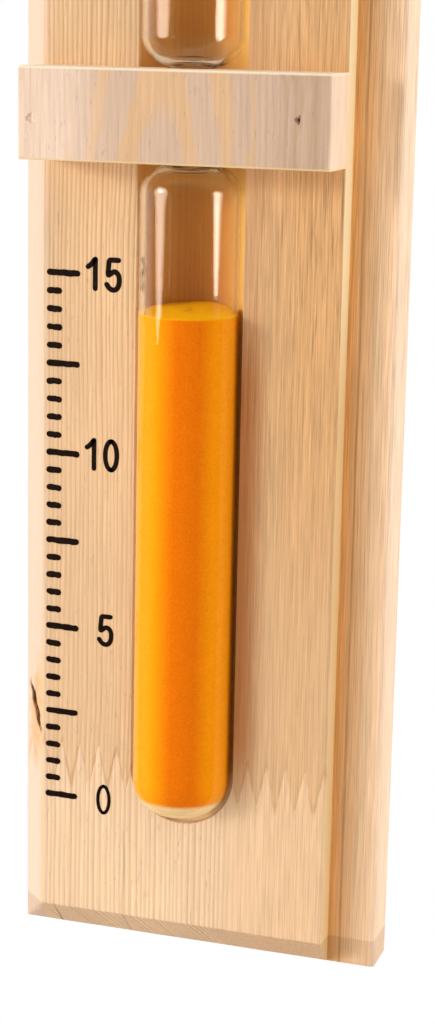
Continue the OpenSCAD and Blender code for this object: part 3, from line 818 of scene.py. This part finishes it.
# The saw ran askew through the rings here, so that they open out downwards from the middle like a flame.
RING_SPAN = 34                          # how far out the rings are given
bent_x, _, bent_z = xyz(vectors("ADD", place, wander(place, (0.16, 0.16, 0.07), 2.0, 1.6)))
ring_at = hypot(maths("MULTIPLY_ADD", bent_z, 0.206, 6.45), maths("ADD", bent_x, 2.2))
grey, tan, brown = (0.67, 0.475, 0.34), (0.73, 0.47, 0.265), (0.60, 0.41, 0.27)
stops = [(at / RING_SPAN, shade) for at, shade in (
    (0, grey), (6.2, grey), (7.3, tan), (8.8, tan), (9.7, grey), (12.6, grey), (13.4, tan), (14.7, tan),
    (15.6, grey), (17.8, grey), (18.3, tan), (18.9, grey), (23.3, grey), (24.0, brown), (24.8, grey),
    (26.5, brown), (27.3, grey), (29.2, brown), (32.0, grey), (RING_SPAN, grey))]
figure = bands(maths("DIVIDE", ring_at, RING_SPAN), stops, "EASE")
# painted light from the left: the strap's front is creamier at its left
cream = blend(0.4, (0.95, 0.75, 0.60), figure)
colour = blend(ease(x, -23.0, -9.0), cream, figure)
# painted shade: the strap darkens towards its right
colour = scaled(colour, ease(x, 8.0, 26.0, 1.0, 0.9))
# painted light on the strap's right end, which faces the right lamp
colour = blend(fade(x, 29.3, 29.7), colour, (0.97, 0.74, 0.55))
colour = vectors("MULTIPLY", colour, fibre)
# painted highlight on the strap's top arris, and painted yellow light on its lower one
colour = blend(ease(z, 7.9, 8.25, 0.0, 0.8), colour, (1.0, 0.86, 0.64))
colour = blend(ease(z, -8.0, -8.3, 0.0, 0.7), colour, (0.95, 0.70, 0.36))
material.node_tree.links.new(colour, shader.inputs["Base Color"])
strap.data.materials.append(material)
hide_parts("strap")
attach(strap, "turning_board")


# Brads
# Two thin steel pins, driven below the strap's face, with flat heads a little dished by the punch.
# Bare steel that the damp air has darkened and begun to rust.

def turned(profile, steps):
    """A body of revolution round z from (radius, height) pairs in mm that start and end on the axis."""
    p = np.array(profile, float)
    angles = np.linspace(0, 2 * math.pi, steps, endpoint=False)
    inner = p[1:-1]
    ring = np.stack([inner[:, 0, None] * np.cos(angles), inner[:, 0, None] * np.sin(angles),
                     np.repeat(inner[:, 1, None], steps, 1)], 2).reshape(-1, 3)
    verts = np.concatenate([[[0, 0, p[0, 1]]], ring, [[0, 0, p[-1, 1]]]])
    faces = [(0, 1 + (j + 1) % steps, 1 + j) for j in range(steps)]
    for a in range(1, len(ring) - steps, steps):
        b = a + steps
        faces += [(a + j, a + (j + 1) % steps, b + (j + 1) % steps, b + j) for j in range(steps)]
    a = len(ring) - steps + 1
    faces += [(a + j, a + (j + 1) % steps, len(verts) - 1) for j in range(steps)]
    return verts, faces


material, tree = blank("brad_steel")
pits = noise(put(tree, "ShaderNodeTexCoord").outputs["Object"], 2500.0, 4.0)
colour = blend(fade(pits, 0.45, 0.65), (0.10, 0.075, 0.06), (0.05, 0.022, 0.012))
principled(tree, {"Base Color": colour, "Metallic": 0.7, "Roughness": fade(pits, 0.3, 0.7, 0.4, 0.75),
                  "Normal": bump(pits, 0.4, 0.00005)})
for name, (bx, bz) in zip(("brad_left", "brad_right"), BRADS):
    verts, faces = turned([(0, 0.12), (0.35, 0.1), (0.6, 0.02), (0.78, 0.0), (0.87, 0.06), (0.9, 0.18),
                           (0.88, 0.6), (0.7, 0.78), (0.6, 0.8), (0.6, 19.6), (0.2, 20.8), (0, 20.9)], 32)
    verts = np.stack([verts[:, 0], verts[:, 2], -verts[:, 1]], 1) + [bx, STRAP_Y + 0.42, bz]
    brad = piece_of(name + "_steel", verts, [face[::-1] for face in faces], 40)
    brad.data.materials.append(material)
    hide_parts(name)
    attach(brad, "turning_board")


# Glass
# Clear tube blown into two bulbs, with rounded shoulders at the waist and closed, slightly thicker ends.
# It lies in the groove with its axis in the plane of the face, and the strap holds it at the waist.

GLASS_R, _, GLASS_END = corners("glass_tube")[1]
WALL, END_WALL, END_R = 1.0, 2.0, 7.0                       # thickness of side and end, rounding of the end
NECK_R, NECK_Z, SHOULDER_R, FILLET_R = 3.6, 8.8, 5.6, 1.5   # the waist, and the two bends that widen it
bend_r, bend_z = GLASS_R - SHOULDER_R, NECK_Z + SHOULDER_R
fillet_r = NECK_R + FILLET_R
fillet_z = bend_z - math.sqrt((SHOULDER_R + FILLET_R) ** 2 - (fillet_r - bend_r) ** 2)


def arc(centre, r, start, end, count):
    """Points on a circle, from one angle to another."""
    cx, cz = centre
    return [(cx + r * math.cos(a), cz + r * math.sin(a)) for a in np.linspace(start, end, count)]


def glass_wall(inset, end_z):
    """Half section of a bulb's wall, set in from the outside: fillet, shoulder, side and end."""
    tangent = math.atan2(bend_z - fillet_z, bend_r - fillet_r)
    r, bend = GLASS_R - inset, END_R - inset
    return (arc((fillet_r, fillet_z), FILLET_R + inset, math.pi, tangent, 9)
            + arc((bend_r, bend_z), SHOULDER_R - inset, tangent - math.pi, 0, 18)[1:]
            + [(r, z) for z in np.linspace(bend_z, end_z - bend, 40)[1:-1]]
            + arc((r - bend, end_z - bend), bend, 0, math.pi / 2, 14) + [(0, end_z)])


def both(upper):
    """The profile of the upper half together with its mirror image, from the lowest point to the highest."""
    return [(r, -z) for r, z in upper[::-1]] + upper[1:]


outside, outer_faces = turned(both([(NECK_R, z) for z in (0, 3, 5.5)] + glass_wall(0, GLASS_END)), 96)
# Inside the waist, a narrow hole for the sand widens in a smooth curve.
funnel = [(0.8, 0), (0.8, 2.0), (0.9, 3.2), (1.2, 4.4), (1.75, 5.6), (2.3, 6.6)]
inside, inner_faces = turned(both(funnel + glass_wall(WALL, GLASS_END - END_WALL)), 96)
glass = piece_of("glass_tube_blown", np.concatenate([outside, inside]) + [0, FACE_Y, 0],
                 outer_faces + [tuple(i + len(outside) for i in face[::-1]) for face in inner_faces], 180)
material, tree = blank("clear_glass")
ripple = noise(put(tree, "ShaderNodeTexCoord").outputs["Object"], (160, 160, 24), 1.0)
rays = put(tree, "ShaderNodeLightPath").outputs
clear = put(tree, "ShaderNodeBsdfPrincipled", {"Base Color": (1, 1, 1, 1), "Roughness": 0.0, "IOR": 1.5,
                                               "Transmission Weight": 1.0,
                                               "Specular Tint": (1.0, 0.84, 0.66, 1),
                                               "Normal": bump(ripple, 0.12, 0.0003)})
open_air = put(tree, "ShaderNodeBsdfTransparent", {"Color": (0.95, 0.95, 0.94, 1)})
through = maths("MAXIMUM", rays["Is Shadow Ray"], rays["Is Diffuse Ray"])
put(tree, "ShaderNodeOutputMaterial", {"Surface": mixed(through, clear.outputs[0], open_air.outputs[0])})
glass.data.materials.append(material)
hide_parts("glass_tube")
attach(glass, "turning_board")


# Sand
# Fine dyed sand, run into the lower bulb, nearly level at the top. It lies against the glass, a hair
# inside its wall, so that no gap of air shows between them.

SAND_TOP = corners("sand")[1][2]
BORE = GLASS_R - WALL
SAND_R, SAND_LOW, SAND_BEND = BORE + 0.012, -GLASS_END + END_WALL - 0.01, 6.0
body = ([(0, SAND_LOW)] + arc((SAND_R - SAND_BEND, SAND_LOW + SAND_BEND), SAND_BEND, -math.pi / 2, 0, 12)
        + [(SAND_R, z) for z in np.linspace(SAND_LOW + SAND_BEND, SAND_TOP - 0.1, 60)[1:]]
        + [(r, SAND_TOP) for r in np.linspace(SAND_R - 0.12, 0.3, 16)] + [(0, SAND_TOP)])
verts, faces = turned(body, 120)
lift = 0.075 * verts[:, 1] + 0.1 * np.sin(verts[:, 0] * 0.5 + 1) + rng.normal(0, 0.03, len(verts))
verts[:, 2] += np.where(verts[:, 2] > SAND_TOP - 0.2, lift - 0.55, 0)    # the top is uneven and a bit low
sand = piece_of("sand_fill", verts + [0, FACE_Y, 0], faces, 50)
material, tree = blank("orange_sand")
place = put(tree, "ShaderNodeTexCoord").outputs["Object"]
x, _, z = xyz(place)
grains = put(tree, "ShaderNodeTexVoronoi", {"Vector": place, "Scale": 4200.0}).outputs
shade = put(tree, "ShaderNodeSeparateColor", {0: grains["Color"]}).outputs[0]
light = times(fade(shade, 0.0, 1.0, 0.93, 1.06), fade(noise(place, 350.0, 3.0), 0.3, 0.7, 0.98, 1.02))
lit_top = fade(z, SAND_TOP / 1000 - 0.0016, SAND_TOP / 1000 - 0.0012)
# painted light and shade across the sand: brighter and yellower at the left and right, where the lamps fall,
# shaded in the middle
colour = bands(fade(x, -BORE / 1000, BORE / 1000),
               [(0.5 + at / 2 / BORE, tone) for at, tone in (
                   (-BORE, (1.0, 0.40, 0.02)), (-4.6, (1.0, 0.39, 0.012)), (-3.2, (1.0, 0.37, 0.003)),
                   (-1.4, (1.0, 0.29, 0.002)), (0.6, (0.93, 0.195, 0.001)), (4.6, (0.93, 0.195, 0.001)),
                   (6.9, (1.0, 0.32, 0.002)), (BORE, (1.0, 0.33, 0.003)))])
# painted light: the top of the sand is lighter
colour = blend(lit_top, colour, (1.0, 0.50, 0.002))
# painted light: the sand's underside is pale cream, standing in for lit wood seen through the glass end
colour = blend(ease(z, -0.1312, -0.1322), colour, (1.0, 0.72, 0.36))
# to the light that bounces off it the sand is paler and less red than it looks, which weakens its orange
# light on the wood
colour = blend(put(tree, "ShaderNodeLightPath").outputs["Is Diffuse Ray"], colour, (0.80, 0.50, 0.28))
dull = {"Base Color": scaled(colour, light), "Roughness": 0.85, "Specular IOR Level": 0.05,
        "Normal": bump(grains["Distance"], 0.25, 0.0001, invert=True)}
packed = put(tree, "ShaderNodeBsdfPrincipled", dull)
# the sheen on the top, too, makes it brighter
surface = put(tree, "ShaderNodeBsdfPrincipled", {**dull, "Sheen Weight": 1.0, "Sheen Roughness": 0.4,
                                                 "Sheen Tint": (1.0, 0.42, 0.002, 1)})
put(tree, "ShaderNodeOutputMaterial", {"Surface": mixed(lit_top, packed.outputs[0], surface.outputs[0])})
sand.data.materials.append(material)
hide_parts("sand")
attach(sand, "turning_board")


# Wall plate
# The pine batten that is screwed to the wall, planed like the board, seen only from the side and from behind.
# Its edges are eased with sandpaper.

wood_of_plate, *_ = pine_material(
    "plate_wood", (0.84, 0.57, 0.34), (0.60, 0.34, 0.16),
    {"Pith X": 40.0, "Pith Y": 60.0, "Ring Width": 1.5, "Late Share": 0.45, "Seed": 140.0}, 0.8)


def finish(node, material, edge):
    """Gives a CAD node its material, and eases its edges by that many metres."""
    made = nodes_of[node]
    made.data.materials.clear()
    made.data.materials.append(material)
    soft = made.modifiers.new("soft_edges", "BEVEL")
    soft.width = edge
    soft.segments = 3
    soft.limit_method = "ANGLE"
    soft.angle_limit = math.radians(40)


finish("wall_plate", wood_of_plate, 0.0005)


# Pivot hardware
# Zinc-plated bolt, two washers and a lock nut, and a white nylon friction washer behind the board.
# They are bought parts, pressed and turned, with a thin even plating.

zinc, tree = blank("zinc_plate")
spangle = noise(put(tree, "ShaderNodeTexCoord").outputs["Object"], 420.0, 5.0)
principled(tree, {"Base Color": blend(spangle, (0.50, 0.51, 0.53), (0.74, 0.73, 0.70)), "Metallic": 1.0,
                  "Roughness": fade(spangle, 0.3, 0.7, 0.24, 0.46), "Normal": bump(spangle, 0.15, 0.0001)})
nylon, tree = blank("white_nylon")
haze = noise(put(tree, "ShaderNodeTexCoord").outputs["Object"], 260.0, 3.0)
principled(tree, {"Base Color": blend(haze, (0.74, 0.72, 0.66), (0.86, 0.85, 0.80)), "Roughness": 0.42,
                  "Normal": bump(haze, 0.1, 0.0001)})
for node, material, edge in (("pivot_bolt", zinc, 0.0002), ("bolt_washer", zinc, 0.00015),
                             ("nut_washer", zinc, 0.00015), ("lock_nut", zinc, 0.0002),
                             ("friction_washer", nylon, 0.00015)):
    finish(node, material, edge)
